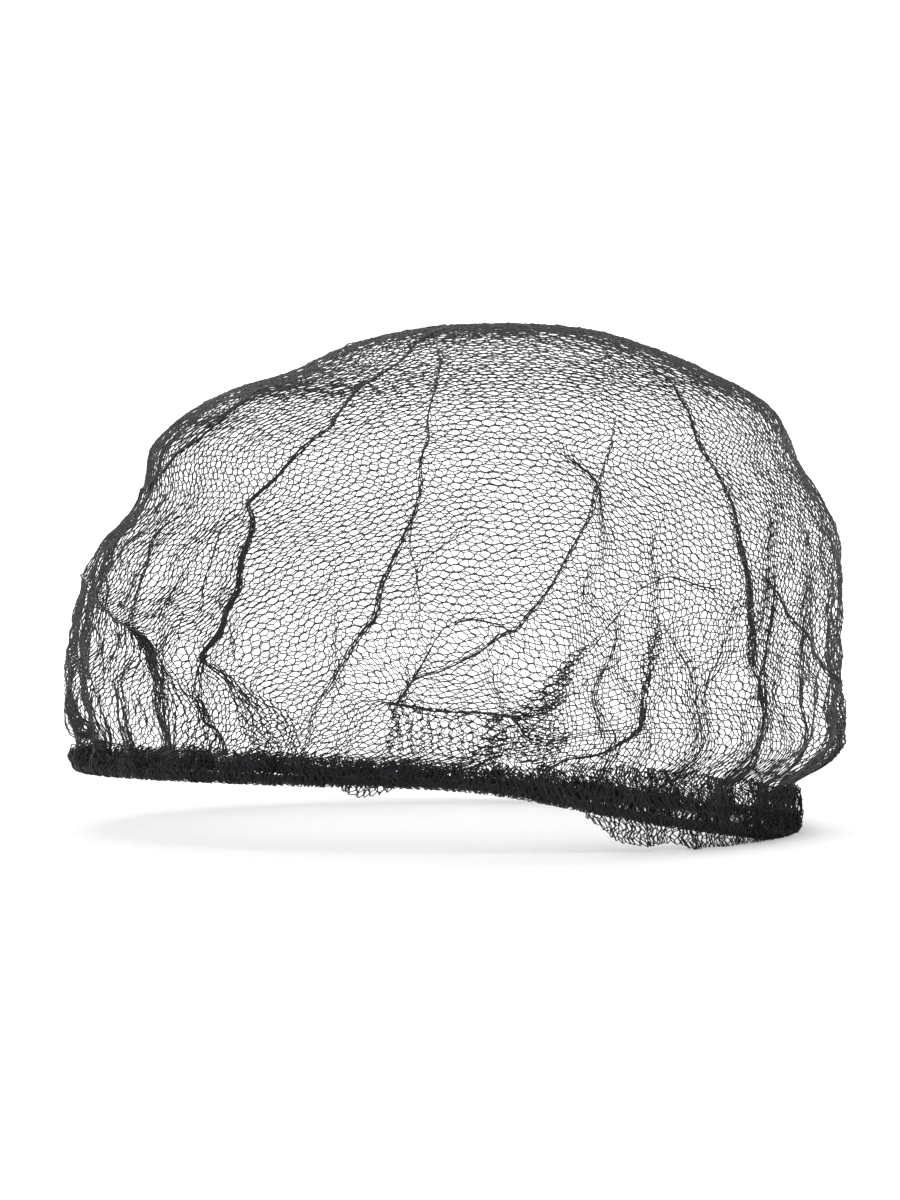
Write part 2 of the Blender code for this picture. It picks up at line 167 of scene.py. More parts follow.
# Folds that run down the dome. Count folds lie side by side, gap apart at the hem. Draw is how much of
# the spare cloth near it each takes up, against the others. Thin is a fold's half width as a share of
# that cloth: at 0.5 the net is drawn to a line, and below it the net laps over itself. Each begins
# later than the one before it by step, a share of the cloth. Line is its course in the frame.
Fold = namedtuple("Fold", "count gap draw thin step line")
FOLDS = {
    "left": Fold(4, 0.0007, 2.6, 0.44, 0.008, (
        (445, 330), (390, 370), (330, 430), (290, 465), (248, 503), (254, 520), (250, 545),
        (240, 590), (218, 635), (204, 660), (200, 690), (207, 722), (226, 770))),
    "left_side": Fold(2, 0.0016, 0.5, 0.42, 0.02, (
        (244, 506), (224, 528), (212, 560), (205, 600), (197, 626))),
    "left_low": Fold(9, 0.0017, 4.8, 0.22, 0.008, (
        (207, 654), (237, 679), (260, 706), (272, 732), (282, 780))),
    "far_left": Fold(2, 0.0007, 2.0, 0.46, 0.01, (
        (265, 388), (240, 405), (200, 440), (160, 478), (143, 492))),
    "mid": Fold(3, 0.0007, 2.6, 0.46, 0.01, (
        (437, 345), (435, 390), (430, 440), (420, 470), (415, 500), (400, 545), (380, 580),
        (370, 615), (345, 650), (330, 680), (314, 720), (306, 775))),
    "mid_low": Fold(4, 0.0026, 2.2, 0.26, 0.01, (
        (356, 690), (348, 710), (340, 735), (336, 760), (332, 790))),
    "long": Fold(3, 0.0007, 2.6, 0.46, 0.01, (
        (617, 412), (607, 445), (592, 491), (576, 533), (549, 583), (519, 625), (481, 652),
        (450, 667), (421, 680), (396, 705), (384, 745), (376, 790))),
    "top_small": Fold(1, 0.0007, 0.8, 0.46, 0.01, ((609, 361), (589, 405), (562, 418), (542, 437))),
    "right": Fold(4, 0.0009, 2.4, 0.44, 0.03, (
        (657, 369), (680, 403), (710, 465), (733, 522), (745, 560), (752, 606), (752, 637))),
    "right_branch": Fold(3, 0.0012, 0.9, 0.42, 0.03, (
        (745, 552), (768, 583), (806, 644), (833, 690), (838, 770))),
    "right_low": Fold(14, 0.0052, 0.9, 0.40, 0.004, ((692, 752), (700, 800))),
    "gather": Fold(11, 0.0024, 4.6, 0.20, 0.014, (
        (602, 632), (580, 668), (556, 700), (534, 728), (508, 790))),
    "middle_low": Fold(12, 0.0027, 6.0, 0.20, 0.007, (
        (418, 655), (430, 690), (442, 725), (446, 760), (444, 800))),
    "low": Fold(3, 0.0008, 3.4, 0.42, 0.01, (
        (664, 618), (658, 652), (645, 686), (637, 717), (618, 746), (592, 768), (566, 795))),
    "corner": Fold(9, 0.0024, 3.0, 0.22, 0.020, (
        (96, 591), (115, 620), (134, 628), (153, 648), (165, 675), (174, 702), (178, 735), (176, 775))),
    "edge": Fold(7, 0.0028, 2.4, 0.26, 0.01, ((70, 650), (76, 700), (90, 735), (108, 768))),
    "right_edge": Fold(5, 0.0040, 1.0, 0.40, 0.01, ((838, 690), (842, 730), (836, 770))),
}

# Folds that run across the dome. The cloth is drawn in by pull on both sides, evenly within wide and
# fading out over reach, in metres.
CrossFold = namedtuple("CrossFold", "pull wide reach line")
CROSS_FOLD_END = 0.006  # how far a cross fold fades out past its ends
CROSS_FOLD_HEIGHT = 0.0012
CROSS_FOLDS = {
    "arch": CrossFold(0.0046, 0.0038, 0.022, (
        (600, 634), (615, 616), (641, 588), (664, 577), (700, 585))),
    "leaf": CrossFold(0.0046, 0.0036, 0.018, (
        (396, 702), (421, 664), (436, 634), (452, 620), (473, 616), (494, 621))),
    "level": CrossFold(0.0080, 0.0058, 0.018, (
        (390, 703), (430, 710), (480, 712), (512, 717), (524, 734))),
    "low_end": CrossFold(0.0050, 0.0038, 0.014, ((622, 744), (600, 752), (576, 756), (538, 768))),
    "low_second": CrossFold(0.0036, 0.0030, 0.012, ((606, 731), (565, 738), (540, 745))),
    "ledge": CrossFold(0.0042, 0.0034, 0.016, ((80, 575), (96, 588), (120, 622), (140, 632))),
}

# Bunches of small gathers at the back, from one turn in degrees to the other. A bunch begins between
# the two shares of the cloth, and its folds lie one of the two gaps apart, or between them.
BUNCHES = 38
BUNCH_TURNS = (16, 166)
BUNCH_START = (0.42, 0.84)
BUNCH_GAP = (0.0012, 0.0024)
BUNCH_SWAY = 0.0035  # how far a bunch strays to the sides
BUNCH_THIN = (0.42, 1.52)  # its folds' thinness as in the table above, where it begins low and high
BUNCH_HEIGHT = (0.0004, 0.0016)  # how far its folds stand out, from least to most
WALL_RADIUS = 0.11  # about the lower wall's, for patterns that are set out along it

# How the folds take up the cloth
PANEL_SCALE = (1.03, 0.94)  # the open net's width over its flat width, at the crown and at the hem
FOLD_RINGS = 90  # the rings down the dome that the folds are worked out at
FOLD_REACH = math.radians(21)  # how far round a fold draws in most of its cloth
LOOSE = 0.03  # how much the open net keeps of the spare cloth that no fold is near
CORE = 0.02  # nearer the middle of the cloth than this share, folds lie as they do there
FINEST_FOLD = 0.0004  # the least half width of a fold
BLEND_IN_GROUP = 0.0003  # how softly a fold gives way to the others of its group
BLEND_BETWEEN = 0.003  # and to those of another group
FOLD_SWAY = 0.0005  # how far a named fold strays from its course
JOSTLE = 0.12  # how far a fold strays from its place in its group, as a share of the gap
FAN = 0.3  # how close a group's folds begin, as a share of their gap at the hem
FOLD_HEIGHT = (0.0004, 0.0012)  # how far a named fold stands out, from least to most

# The hem and the ruffles. Layers are the radii at which the hem's nets are rolled up round the elastic.
HEM_LAYERS = {"outer": (0.0022, 0.0020), "inner": (0.00178,)}
HEM_NET_ROWS = 11
HEM_GATHER = 1.75  # the length of net gathered into each length of the hem
HEM_BUNCHING = 0.55  # how unevenly the threads are drawn together along the hem
RUFFLE_NET_ROWS = 12
RUFFLE_GATHER = 1.5
RUFFLE_BUNCHING = 0.35
RUFFLE_DRAWN = 0.58  # the rows' pitch in a ruffle over their pitch in the flat net
RUFFLE_HALF_GAP = 0.0007  # between the two sides of a ruffle and its middle
RUFFLE_OVERLAP = 0.0006  # how far a ruffle begins above the elastic's bottom
NET_END = 1.028  # the net goes on down into the hem, to this share of the cloth

# The small dents of the loose net
CRUMPLE_DEPTH = 0.0007
CRUMPLE_RADIUS = 0.115  # about the dome's, for waves that are set out over it

# The elastic's cover, wound round it in three ridges
ELASTIC_RINGS = 900
ELASTIC_SIDES = 16
COVER_RIDGES = 3
COVER_PITCH = 0.0062
COVER_DEPTH = 0.07  # as a share of the elastic's radius

# Filaments. Real fibres are about 0.02 mm, too fine to show, so their grain is drawn coarser.
YARN_PATCH = 0.012  # the size of patches of lighter yarn
FIBRE = 0.0004
TWIST_BUMP = 0.00005  # how far the twist stands out
NET_TWIST = 0.0006  # the length of one turn of the filaments
COVER_TWIST = 0.0011
NYLON_IOR = 1.53
SHADES = 512  # threads after which their shades come again

# Ruffles below the elastic. Start and end are the turns in degrees that they hang between. Edge is how
# low the edge hangs at even steps from one to the other, as shares of the drop.
Ruffle = namedtuple("Ruffle", "start end drop waves edge")
RUFFLES = {
    "hem_ruffle_right": Ruffle(
        293, 336, RUFFLE_DROP, 5, (0.25, 0.80, 0.82, 0.60, 0.85, 1.05, 1.0, 0.7, 0.3)),
    "hem_ruffle_front": Ruffle(256, 264, SMALL_RUFFLE_DROP, 1, (0.4, 1.0, 1.1, 0.9, 0.4)),
}


def smooth(at, places, values):
    """A smooth curve through the values: a cubic between rows, its slopes taken from their neighbours."""
    places = np.asarray(places, float)
    values = np.asarray(values, float)
    slope = np.gradient(values, places)
    k = np.clip(np.searchsorted(places, at) - 1, 0, len(places) - 2)
    span = places[k + 1] - places[k]
    t = np.clip((at - places[k]) / span, 0, 1)
    start = (1 + 2 * t) * (1 - t) ** 2 * values[k] + t * (1 - t) ** 2 * span * slope[k]
    end = t**2 * (3 - 2 * t) * values[k + 1] - t**2 * (1 - t) * span * slope[k + 1]
    return start + end


def column(rows, name):
    return [getattr(row, name) for row in rows]


def ease(at, low, high):
    """0 below low, 1 above high, and a smooth step between."""
    t = np.clip((at - low) / (high - low), 0, 1)
    return t * t * (3 - 2 * t)


def unit(vectors):
    return vectors / np.maximum(np.linalg.norm(vectors, axis=-1, keepdims=True), 1e-9)


def wrapped(turn):
    """A turn brought to between minus half a turn and half a turn."""
    return (turn + math.pi) % (2 * math.pi) - math.pi


def hem_height(turn):
    rolled = smooth(np.degrees(turn) % 360, column(HEM_ROWS, "turn"), column(HEM_ROWS, "rolled"))
    return HEM_HEIGHT + np.clip(rolled, 0, 1) * (ROLLED_HEIGHT - HEM_HEIGHT)


def hem_raised(turn):
    degrees = np.degrees(turn) % 360
    return HEM_HEIGHT * smooth(degrees, column(HEM_ROWS, "turn"), column(HEM_ROWS, "raised"))


def pleats(turn):
    """The gathers round the hem: one wave a pleat, drawn together in some places and apart in others."""
    return np.cos(PLEATS * turn + 1.4 * np.sin(3 * turn) + 1.1 * np.sin(5 * turn + 1))


def ring_reaches(cloth):
    """The four reaches of the ring at each share of the cloth: left, right, front and back."""
    at = column(RINGS, "cloth")
    return (
        -REACH_LEFT * smooth(cloth, at, column(RINGS, "left")),
        REACH_RIGHT * smooth(cloth, at, column(RINGS, "right")),
        -REACH_FRONT * smooth(cloth, at, column(RINGS, "front")),
        REACH_BACK * smooth(cloth, at, column(RINGS, "back")),
    )


def ring_radius(cloth):
    """The radius of a circle as long as the ring: the root mean square of the ellipse's half axes."""
    left, right, front, back = ring_reaches(cloth)
    return np.sqrt(((right - left) ** 2 + (back - front) ** 2) / 8)


def ring_point(turn, cloth):
    """The dome without relief: an ellipse at each share of the cloth, tilted more towards the hem."""
    left, right, front, back = ring_reaches(cloth)
    x = (left + right) / 2 + (right - left) / 2 * np.cos(turn)
    y = (front + back) / 2 + (back - front) / 2 * np.sin(turn)
    height = smooth(cloth, column(RINGS, "cloth"), column(RINGS, "height"))
    above_hem = hem_height(turn) + CLEARANCE + NET_FOOT + hem_raised(turn)
    low = 1 - height
    z = CROWN_HEIGHT * height - math.tan(HEM_TILT) * x * low + above_hem * low**2
    foot = CLOTH_RADIUS * np.maximum(cloth - 1, 0)
    return np.stack([x, y, z - foot], axis=-1)


def outward(points, cloth):
    """The way out of the dome: the slope of an ellipsoid with the dome's reaches, level at the hem."""
    reach = np.array([(REACH_LEFT + REACH_RIGHT) / 2, (REACH_FRONT + REACH_BACK) / 2, CROWN_HEIGHT])
    way = points / reach**2
    way[..., 2] = np.maximum(way[..., 2], 0) * (1 - ease(cloth, 0.85, 1.0))
    return unit(way)


def relief(points, turn, cloth):
    """How far the wall stands out: the pleats towards the hem and the broad swells."""
    lift = PLEAT_DEPTH * ease(cloth, 0.62, 1.0) * pleats(turn)
    for s in SWELLS:
        across = points[..., 0] / REACH_RIGHT - s.across
        up = (points[..., 2] / CROWN_HEIGHT - s.up) * CROWN_HEIGHT / REACH_RIGHT
        near = np.exp(-(across**2 + up**2) / (2 * (s.spread * REACH_FRONT / REACH_RIGHT) ** 2))
        same_side = ease(s.side * points[..., 1] / REACH_FRONT, 0.0, 0.4)
        lift = lift + SWELL_LIFT * s.lift * near * same_side * (1 - ease(cloth, 0.9, 1.0))
    return lift


def on_dome(turn, cloth, out=0.0):
    """The point of the net at a direction and a share of the cloth, and further out by out."""
    points = ring_point(turn, cloth)
    way = outward(points, cloth)
    return points + way * (relief(points, turn, cloth) + out)[..., None], way


def hem_line(turn, out, drop):
    """A point round the hem: its bottom line, moved level outwards by out and down by drop."""
    points = ring_point(turn, np.ones_like(turn))
    points[..., 2] -= hem_height(turn) + CLEARANCE + NET_FOOT + drop
    level = np.stack([np.cos(turn), np.sin(turn), np.zeros_like(turn)], axis=-1)
    return points + level * np.asarray(out)[..., None], level


def in_frame(points):
    """Where the camera sees a point: its offset over its depth, times the lens in pixels."""
    pixels = LENS / SENSOR * FRAME_HEIGHT
    sine, cosine = math.sin(CAMERA_ELEVATION), math.cos(CAMERA_ELEVATION)
    x, y, z = np.moveaxis(points - CAMERA_TARGET, -1, 0)
    depth = CAMERA_DISTANCE + y * cosine - z * sine
    across = FRAME_WIDTH / 2 + pixels * x / depth
    down = FRAME_HEIGHT / 2 - pixels * (z * cosine + y * sine) / depth
    return across, down


def on_front(line):
    """The turns and shares of the cloth where the front of the dome is seen at a line's points."""
    turn, cloth = np.meshgrid(
        np.linspace(math.pi * 0.98, math.pi * 2.02, 561), np.linspace(0.02, 1, 420), indexing="ij")
    across, down = in_frame(on_dome(turn, cloth)[0])
    found = []
    for x, y in line:
        nearest = np.argmin((across - x) ** 2 + (down - y) ** 2)
        found.append((turn.flat[nearest], cloth.flat[nearest]))
    return np.array(found)


class Folds:
    """The folds that run down the dome, at each of FOLD_RINGS rings: where they lie on the dome and
    in the disc, the cloth they take up, their half width and how high they stand."""

    def __init__(self, random):
        cloth = np.linspace(0.0, 1.0, FOLD_RINGS)
        rows = []
        for number, fold in enumerate(FOLDS.values()):
            rows += self.named(number, fold, cloth, random)
        for number in range(BUNCHES):
            rows += self.bunch(number, cloth, random)
        group, dome, draw, thin, high = (np.array(part) for part in zip(*rows))
        flat = np.maximum(cloth, CORE) * CLOTH_RADIUS
        tight = ring_radius(np.maximum(cloth, CORE)) / flat
        wanted = PANEL_SCALE[0] + (PANEL_SCALE[1] - PANEL_SCALE[0]) * ease(cloth, 0.45, 1.0)
        # Each part of a ring gives its spare cloth to the folds near it
        around = np.linspace(0, 2 * math.pi, 360, endpoint=False)
        far = wrapped(around - dome[..., None])
        pull = draw[..., None] / (1 + (far / FOLD_REACH) ** 2) ** 2
        share = (pull / (pull.sum(0) + LOOSE)).mean(2)
        take = share * np.maximum(wanted - tight, 0) * 2 * math.pi * flat
        self.cloth, self.dome, self.take, self.high = cloth, dome, take, high
        self.wide = np.maximum(thin[:, None] * take, FINEST_FOLD)
        self.scale = tight + take.sum(0) / (2 * math.pi * flat)
        self.tight = tight
        # In the disc a fold lies as far round as on the dome, and the cloth of the folds before it
        # further. Begun is the turn that keeps the disc as a whole from turning on its way down the dome.
        self.begun = (take * dome).sum(0) / (2 * math.pi * flat)
        turns = dome[:, None] - dome[None]
        near = wrapped(turns)
        soft = np.where(group[:, None] == group[None], BLEND_IN_GROUP, BLEND_BETWEEN)[..., None]
        passed = 0.5 * np.tanh(near * tight * flat / soft) + np.round((turns - near) / (2 * math.pi))
        self.disc = (tight * dome + (passed * take[None]).sum(1) / flat + self.begun) / self.scale

    def named(self, group, fold, cloth, random):
        """The folds of one row of the table. One that ends above the hem closes again there."""
        found = on_front(fold.line)
        found = found[np.argsort(found[:, 1])]
        radius = np.maximum(ring_radius(np.maximum(cloth, 0.05)), 0.02)
        course = np.interp(cloth, found[:, 1], found[:, 0])
        course = course + self.wander(cloth, FOLD_SWAY, random) / radius
        last = 1.0 if found[-1, 1] > 0.80 else found[-1, 1]
        rows = []
        for n in range(fold.count):
            spread = FAN + (1 - FAN) * ease(cloth, found[0, 1], 0.95)
            off = (n - (fold.count - 1) / 2) * fold.gap * spread
            dome = course + (off + self.wander(cloth, JOSTLE * fold.gap, random)) / radius
            begins = found[0, 1] + fold.step * n
            grown = ease(cloth, begins - 0.02, begins + 0.05)
            grown = grown * (1 - ease(cloth, last, last + 0.06)) if last < 1.0 else grown
            thin = fold.thin * random.uniform(0.85, 1.1)
            rows.append((group, dome, fold.draw * grown, thin, grown * random.uniform(*FOLD_HEIGHT)))
        return rows

    def bunch(self, number, cloth, random):
        """A few small folds that begin near each other and spread out towards the hem. A bunch that
        begins high is soft, and one that begins low is crisp."""
        first, last = np.radians(BUNCH_TURNS)
        at = first + (last - first) * (number + 0.5 + random.uniform(-0.35, 0.35)) / BUNCHES
        slant = random.normal(0, 0.22)
        begins = random.uniform(*BUNCH_START)
        sway = self.wander(cloth, BUNCH_SWAY, random) / WALL_RADIUS
        rows = []
        count = random.integers(2, 6)
        gap = random.uniform(*BUNCH_GAP)
        soft = (BUNCH_START[1] - begins) / (BUNCH_START[1] - BUNCH_START[0])
        thin = BUNCH_THIN[0] + (BUNCH_THIN[1] - BUNCH_THIN[0]) * soft
        for n in range(count):
            off = (n - (count - 1) / 2) * gap * (FAN + (1 - FAN) * ease(cloth, begins, 1.0))
            stray = self.wander(cloth, JOSTLE * gap, random)
            dome = at + slant * (1 - cloth) + sway + (off + stray) / WALL_RADIUS
            start = begins + random.uniform(0, 0.10)
            grown = ease(cloth, start, start + 0.12)
            rows.append((len(FOLDS) + number, dome, random.uniform(0.7, 1.3) * grown,
                         thin * random.uniform(0.9, 1.1), grown * random.uniform(*BUNCH_HEIGHT)))
        return rows

    def wander(self, cloth, far, random):
        """A fold's small side steps: two slow waves down the cloth, with their own phases."""
        a, b, c, d = random.uniform(0, 1, 4)
        return far * (np.sin(2 * math.pi * (2.2 * cloth * (0.7 + a) + b))
                      + 0.6 * np.sin(2 * math.pi * (5.1 * cloth * (0.7 + c) + d)))

    def fold(self, turn, cloth):
        """From the disc to the dome: the turn on the dome and how far the cloth stands out.

        The arc on the dome is the arc in the disc times the open cloth's scale, less for each fold
        half its cloth times the tanh of the distance to it over its half width. It stands out as a
        ridge that leans to one side.
        """
        flat = np.maximum(cloth, CORE) * CLOTH_RADIUS
        along = lambda values: np.interp(cloth, self.cloth, values)
        arc = flat * (along(self.scale) * turn - along(self.begun))
        out = np.zeros_like(turn)
        for disc, take, wide, high in zip(self.disc, self.take, self.wide, self.high):
            turns = turn - along(disc)
            near = wrapped(turns)
            across = near * flat / along(wide)
            arc -= along(take) * (0.5 * np.tanh(across) + np.round((turns - near) / (2 * math.pi)))
            ridge = np.exp(-(across / 1.5) ** 2)
            lean = 0.4 * np.tanh(across) * np.exp(-(across / 2) ** 2)
            out += along(high) * (ridge - lean)
        return arc / (along(self.tight) * flat), out


def cross_fold(fold, turn, cloth):
    """Draws the cloth in to a line across the dome, on both sides, and lifts it there.

    A point moves towards the line by pull times tanh of its distance over wide, less with distance.
    """
    line = on_front(fold.line)
    middle = line[:, 0].mean()
    radius = ring_radius(np.maximum(cloth, 0.05))
    places = np.stack([wrapped(turn - middle) * radius, cloth * CLOTH_RADIUS], axis=-1)
    line_across = wrapped(line[:, 0] - middle) * ring_radius(line[:, 1])
    course = np.stack([line_across, line[:, 1] * CLOTH_RADIUS], axis=-1)
    nearest = np.full(turn.shape, 1.0)
    signed = np.full(turn.shape, 1.0)
    normal = np.zeros(places.shape)
    past_end = np.zeros(turn.shape)
    for n, (a, b) in enumerate(zip(course[:-1], course[1:])):
        way = b - a
        length = np.linalg.norm(way)
        way = way / length
        share = ((places - a) @ way) / length
        foot = a + np.clip(share, 0, 1)[..., None] * way * length
        far = np.linalg.norm(places - foot, axis=-1)
        across = np.array([-way[1], way[0]])
        side = (places - a) @ across
        closer = far < nearest
        nearest = np.where(closer, far, nearest)
        signed = np.where(closer, side, signed)
        normal = np.where(closer[..., None], across, normal)
        over = np.zeros(turn.shape)
        if n == 0:
            over = np.maximum(over, -share * length)
        if n == len(course) - 2:
            over = np.maximum(over, (share - 1) * length)
        past_end = np.where(closer, over, past_end)
    fade = np.exp(-(past_end / CROSS_FOLD_END) ** 2) * np.exp(-np.abs(signed) / fold.reach)
    fade = fade * (1 - ease(cloth, 0.92, 1.0))
    step = -fold.pull * np.tanh(signed / fold.wide) * fade
    out = CROSS_FOLD_HEIGHT * np.exp(-(signed / (0.8 * fold.wide)) ** 2) * fade
    turned = turn + normal[..., 0] * step / radius
    return turned, np.clip(cloth + normal[..., 1] * step / CLOTH_RADIUS, 0, NET_END), out


def crumple(turn, cloth):
    """Small dents of the loose net: three crossing waves 14 to 30 mm long, deeper towards the hem."""
    x = turn * CRUMPLE_RADIUS
    y = cloth * CLOTH_RADIUS
    waves = (
        np.sin(2 * math.pi * (x / 0.021 + y / 0.034) + 1.3 * np.sin(2 * math.pi * y / 0.05))
        + 0.8 * np.sin(2 * math.pi * (x / 0.030 - y / 0.019) + 2.0 + np.sin(3 * turn))
        + 0.5 * np.sin(2 * math.pi * (x / 0.014 + y / 0.055) + 4.0)
    )
    return CRUMPLE_DEPTH * waves * (0.25 + 0.75 * ease(cloth, 0.45, 0.9))


def honeycomb(threads, rows, random):
    """A flat net: each thread's points along and across the warp, and how far they stand out.

    A thread stands in the pillar at its own column, and in every other row in the next one. In a pillar
    it has three points: foot, middle and head. At the middle the two threads change sides.
    """
    uneven = random.normal(0, 1, (4, UNEVEN_SPAN, UNEVEN_SPAN))
    k, j, part = np.meshgrid(threads, rows, np.arange(3), indexing="ij")
    beside = (k + j) % 2
    pillar = k + beside
    side = np.where(beside == 1, -1.0, 1.0) * np.where(part == 1, -0.6, 1.0)
    loose = uneven[:, pillar % UNEVEN_SPAN, j % UNEVEN_SPAN]
    length = PILLAR_LENGTH * (1 + UNEVEN_LENGTH * loose[0])
    along = j * ROW_PITCH + length * part / 2 + UNEVEN_PLACE * loose[1]
    across = pillar * GAP_WIDTH / 2 + side * SIDE_BY_SIDE * THREAD + UNEVEN_PLACE * loose[2]
    over = np.where(beside == 1, -1, 1) * np.array([CROSSING, 0.0, -CROSSING])[part]
    out = UNEVEN_OUT * loose[3] + over * THREAD
    shape = (len(threads), -1)
    return along.reshape(shape), across.reshape(shape), out.reshape(shape)


def tubes(points, run, away, radius, sides=3):
    """A tube along each run of points: a ring of corners at each point, turned to face away.

    A ring's corners lie round the way along the run. Its ends are closed.
    """
    first = np.append(True, run[1:] != run[:-1])
    last = np.append(run[1:] != run[:-1], True)
    before = np.where(first[:, None], points, np.roll(points, 1, axis=0))
    after = np.where(last[:, None], points, np.roll(points, -1, axis=0))
    along = unit(after - before)
    side = np.cross(along, away)
    level = np.cross(along, np.stack([-away[:, 1], away[:, 0], 0.3 + 0 * away[:, 2]], axis=-1))
    side = np.where(np.linalg.norm(side, axis=-1, keepdims=True) > 0.2, side, level)
    side = unit(side)
    up = np.cross(along, side)
    angle = 2 * math.pi * np.arange(sides) / sides
    ring = side[:, None] * np.cos(angle)[:, None] + up[:, None] * np.sin(angle)[:, None]
    corners = points[:, None] + ring * np.broadcast_to(radius, run.shape)[:, None, None]
    here = np.flatnonzero(~last)[:, None] * sides
    a, b = np.arange(sides), (np.arange(sides) + 1) % sides
    quads = np.stack([here + a, here + b, here + sides + b, here + sides + a], axis=-1).reshape(-1, 4)
    starts = np.flatnonzero(first)[:, None] * sides + np.arange(sides)[::-1]
    ends = np.flatnonzero(last)[:, None] * sides + np.arange(sides)
    step = np.linalg.norm(after - before, axis=-1) / 2
    length = np.cumsum(step)
    return corners.reshape(-1, 3), quads, np.concatenate([starts, ends]), np.repeat(length, sides)


def new_piece(name, corners, quads, caps, length, strand, material):
    """A mesh of the corners, with each corner's length along its thread and its thread's shade."""
    mesh = bpy.data.meshes.new(name)
    mesh.vertices.add(len(corners))
    mesh.vertices.foreach_set("co", corners.astype(np.float32).ravel())
    mesh.loops.add(quads.size + caps.size)
    mesh.loops.foreach_set("vertex_index", np.concatenate([quads.ravel(), caps.ravel()]).astype(np.int32))
    mesh.polygons.add(len(quads) + len(caps))
    quad_starts = np.arange(len(quads)) * 4
    cap_starts = quads.size + np.arange(len(caps)) * caps.shape[1]
    mesh.polygons.foreach_set("loop_start", np.concatenate([quad_starts, cap_starts]).astype(np.int32))
    mesh.polygons.foreach_set("use_smooth", np.arange(len(quads) + len(caps)) < len(quads))
    mesh.update(calc_edges=True)
    for label, values in (("along", length), ("strand", strand)):
        layer = mesh.attributes.new(label, "FLOAT", "POINT")
        layer.data.foreach_set("value", values.astype(np.float32))
    mesh.materials.append(material)
    obj = bpy.data.objects.new(name, mesh)
    bpy.context.scene.collection.objects.link(obj)
    return obj


def linear(colour):
    """An sRGB hex colour as linear light: each channel over 12.92, or raised to 2.4 above the toe."""
    channels = [int(colour[n:n + 2], 16) / 255 for n in (1, 3, 5)]
    return [c / 12.92 if c <= 0.04045 else ((c + 0.055) / 1.055) ** 2.4 for c in channels] + [1.0]


def node(material, kind, settings=None, **links):
    """Adds a node: its own settings, and its inputs by name, or by number as i0, i1 and on.

    Each input is a value or another node's output.
    """
    made = material.node_tree.nodes.new(kind)
    for key, value in (settings or {}).items():
        setattr(made, key, value)
    for key, value in links.items():
        numbered = key[0] == "i" and key[1:].isdigit()
        socket = made.inputs[int(key[1:]) if numbered else key.replace("_", " ")]
        if isinstance(value, bpy.types.NodeSocket):
            material.node_tree.links.new(value, socket)
        else:
            socket.default_value = value
    return made


def yarn(name, dark, light, roughness, twist, sheen):
    """A material of twisted filament: the shade goes from dark to light by thread and by patches.

    The twist is a sine along the thread, and with the fibres' grain it makes the bump.
    """
    material = bpy.data.materials.new(name)
    material.use_nodes = True
    shader = material.node_tree.nodes["Principled BSDF"]
    strand = node(material, "ShaderNodeAttribute", {"attribute_name": "strand"})
    along = node(material, "ShaderNodeAttribute", {"attribute_name": "along"})
    place = node(material, "ShaderNodeTexCoord")
    patches = node(material, "ShaderNodeTexNoise", Vector=place.outputs["Object"], Scale=1 / YARN_PATCH,
                   Detail=2.0)
    mixed = node(material, "ShaderNodeMath", {"operation": "MULTIPLY"},
                 i0=strand.outputs["Fac"], i1=patches.outputs["Fac"])
    shade = node(material, "ShaderNodeMix", {"data_type": "RGBA"}, i0=mixed.outputs[0],
                 i6=linear(dark), i7=linear(light))
    turns = node(material, "ShaderNodeMath", {"operation": "MULTIPLY"},
                 i0=along.outputs["Fac"], i1=2 * math.pi / twist)
    ridge = node(material, "ShaderNodeMath", {"operation": "SINE"}, i0=turns.outputs[0])
    fine = node(material, "ShaderNodeTexNoise", Vector=place.outputs["Object"], Scale=1 / FIBRE,
                Detail=3.0)
    height = node(material, "ShaderNodeMath", {"operation": "ADD"},
                  i0=ridge.outputs[0], i1=fine.outputs["Fac"])
    bump = node(material, "ShaderNodeBump", Strength=0.35, Distance=TWIST_BUMP, Height=height.outputs[0])
    rough = node(material, "ShaderNodeMapRange", Value=fine.outputs["Fac"], To_Min=roughness - 0.08,
                 To_Max=roughness + 0.10)
    links = material.node_tree.links
    links.new(shade.outputs[2], shader.inputs["Base Color"])
    links.new(bump.outputs["Normal"], shader.inputs["Normal"])
    links.new(rough.outputs["Result"], shader.inputs["Roughness"])
    shader.inputs["IOR"].default_value = NYLON_IOR
    shader.inputs["Specular IOR Level"].default_value = 0.25
    shader.inputs["Sheen Weight"].default_value = sheen
    shader.inputs["Sheen Roughness"].default_value = 0.5
    return material


def backdrop_paper():
    """Matt white paper: very light, with the faint mottle of its fibres."""
    material = bpy.data.materials.new("matt white paper")
    material.use_nodes = True
    shader = material.node_tree.nodes["Principled BSDF"]
    place = node(material, "ShaderNodeTexCoord")
    fibres = node(material, "ShaderNodeTexNoise", Vector=place.outputs["Object"], Scale=1 / 0.004,
                  Detail=3.0)
    shade = node(material, "ShaderNodeMix", {"data_type": "RGBA"}, i0=fibres.outputs["Fac"],
                 i6=linear("#f4f4f4"), i7=linear("#fafafa"))
    material.node_tree.links.new(shade.outputs[2], shader.inputs["Base Color"])
    shader.inputs["Roughness"].default_value = 0.9
    return material


def stitched_area(thread_length):
    """The flat area that a net's stitches cover: a pillar is a chain of loops three threads wide, where
    two are drawn, and pillars have 58% of the length."""
    return thread_length * THREAD * (0.42 + 0.58 * 1.5)


def shades(run, seed):
    """Each point's shade, one for each thread, on the three corners that the point's ring has."""
    return np.repeat(np.random.default_rng(seed).uniform(0, 1, SHADES)[run % SHADES], 3)


